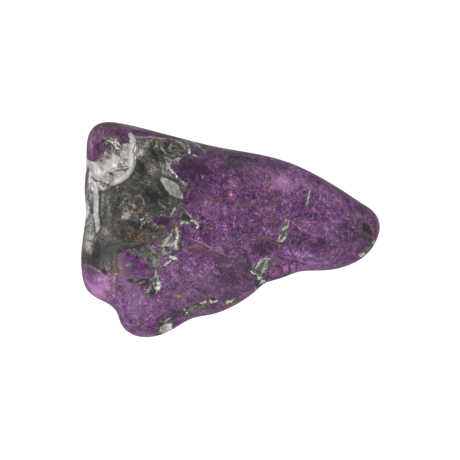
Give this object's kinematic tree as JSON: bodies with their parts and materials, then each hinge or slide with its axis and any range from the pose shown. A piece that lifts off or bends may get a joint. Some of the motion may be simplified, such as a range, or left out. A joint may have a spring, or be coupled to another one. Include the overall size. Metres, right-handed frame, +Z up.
{
  "type": "tumbled purpurite stone",
  "caption": "Loose tumbled gemstone pebble, rounded and satin-polished, broad at one end and narrow at the other, purple with grey-white rock grown in, lying on a worn flat.",
  "frame": {"origin": "bottom centre of the stone's box, on the surface that it lies on", "axes": "+Z up, square to the worn flat it lies on; +X along the stone to its narrow end; +Y across it"},
  "size_m": [0.05, 0.036, 0.0175],
  "materials": {
    "purpurite": "satin polish, violet mottled with magenta, patches of grey and white rock, thin brown veins"
  },
  "bodies": {
    "root": {"stone": "purpurite"}
  },
  "joints": []
}
